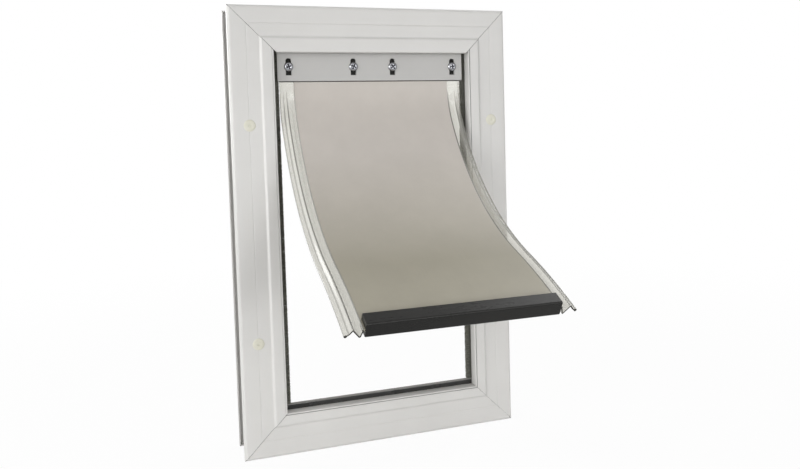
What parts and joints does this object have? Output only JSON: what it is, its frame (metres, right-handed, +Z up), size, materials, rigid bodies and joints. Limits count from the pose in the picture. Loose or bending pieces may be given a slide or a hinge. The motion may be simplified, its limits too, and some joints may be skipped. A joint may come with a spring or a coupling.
{
  "type": "pet door",
  "caption": "Framed pet door for a house door: mitred aluminium frames clamp the leaf, and a pleated soft flap with a magnet edge swings in the opening.",
  "frame": {"origin": "middle of the opening, in the plane where the room-side frame's seat meets the door leaf", "axes": "+X to the right seen from the room, +Y from the room through the leaf to the outdoors, +Z up"},
  "size_m": [0.354, 0.3291, 0.542],
  "materials": {
    "frame_enamel": "white baked enamel, satin",
    "raw_aluminium": "mill",
    "zinc_steel": "bright zinc plate",
    "ivory_plastic": "smooth",
    "pile": "short dense pile",
    "sill_plastic": "satin",
    "flap_vinyl": "tinted translucent soft vinyl",
    "strip_plastic": "fine satin",
    "ferrite": "plain"
  },
  "bodies": {
    "frame": {"clamp_nuts": "zinc_steel", "clamp_screws": "zinc_steel", "flap_hem": "flap_vinyl", "flap_retainer_bar": "frame_enamel", "front_bottom_rail": "frame_enamel", "front_corner_keys": "raw_aluminium", "front_left_stile": "frame_enamel", "front_right_stile": "frame_enamel", "front_top_rail": "frame_enamel", "hole_plugs": "ivory_plastic", "left_pile_strip": "pile", "rear_bottom_rail": "frame_enamel", "rear_corner_keys": "raw_aluminium", "rear_left_stile": "frame_enamel", "rear_right_stile": "frame_enamel", "rear_top_rail": "frame_enamel", "retainer_screws": "zinc_steel", "right_pile_strip": "pile", "sill_strip": "sill_plastic"},
    "flap": {"flap_panel": "flap_vinyl", "flap_magnet_strip": "strip_plastic", "flap_magnet": "ferrite"}
  },
  "joints": [
    {"name": "flap_swing", "type": "hinge", "parent": "frame", "child": "flap", "pos_m": [0, 0.0048, 0.1811], "axis": [1, 0, 0], "range_deg": [-35, 95]}
  ]
}
